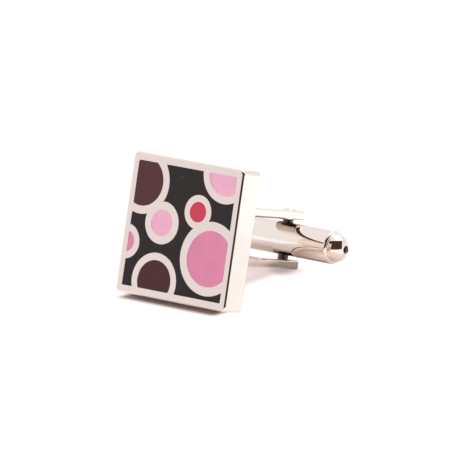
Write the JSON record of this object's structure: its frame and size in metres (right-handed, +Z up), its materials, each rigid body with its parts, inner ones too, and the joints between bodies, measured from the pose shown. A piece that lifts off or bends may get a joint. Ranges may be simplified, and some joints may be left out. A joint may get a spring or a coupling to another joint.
{
  "type": "cufflink",
  "caption": "Square cufflink with a glossy enamel pattern of ringed circles, a U-shaped post frame and a bullet toggle that swivels on a cross pin.",
  "frame": {"origin": "centre of the head's back face, where the cuff lies against it", "axes": "+X along the toggle when it is closed, +Y back along the post away from the head, +Z up along the pivot pin"},
  "size_m": [0.0176, 0.0213, 0.016],
  "materials": {
    "polished_case": "mirror polished plating over a cast base metal",
    "polished_face": "mirror polished plating",
    "adhesive": "cured adhesive, hidden in the joint",
    "enamel_black": "glossy resin enamel, black",
    "enamel_plum": "glossy resin enamel, plum",
    "enamel_pale": "glossy resin enamel, pale pink",
    "enamel_red": "glossy resin enamel, raspberry red",
    "enamel_rose": "glossy resin enamel, rose pink",
    "polished_frame": "polished plating",
    "solder": "plated solder",
    "polished_pin": "polished plating",
    "polished_toggle": "mirror polished plating",
    "brass_core": "turned, hidden in the barrel",
    "spring_steel": "bright spring strip, hidden in the core",
    "polished_cap": "mirror polished plating"
  },
  "bodies": {
    "head": {"case": "polished_case", "face_plate": "polished_face", "bond_layer": "adhesive", "enamel_black": "enamel_black", "enamel_plum_upper": "enamel_plum", "enamel_plum_lower": "enamel_plum", "enamel_pale_corner": "enamel_pale", "enamel_pale_dot": "enamel_pale", "enamel_red_dot": "enamel_red", "enamel_rose_large": "enamel_rose", "enamel_rose_small": "enamel_rose", "post_frame": "polished_frame", "solder_joint": "solder", "pivot_pin": "polished_pin"},
    "toggle": {"toggle_barrel": "polished_toggle", "toggle_core": "brass_core", "detent_spring_front": "spring_steel", "detent_spring_rear": "spring_steel", "end_cap_right": "polished_cap", "end_cap_left": "polished_cap"}
  },
  "joints": [
    {"name": "toggle_swing", "type": "hinge", "parent": "head", "child": "toggle", "pos_m": [0, 0.0162, 0], "axis": [0, 0, 1], "continuous": true, "deforming": ["detent_spring_front", "detent_spring_rear"]}
  ]
}
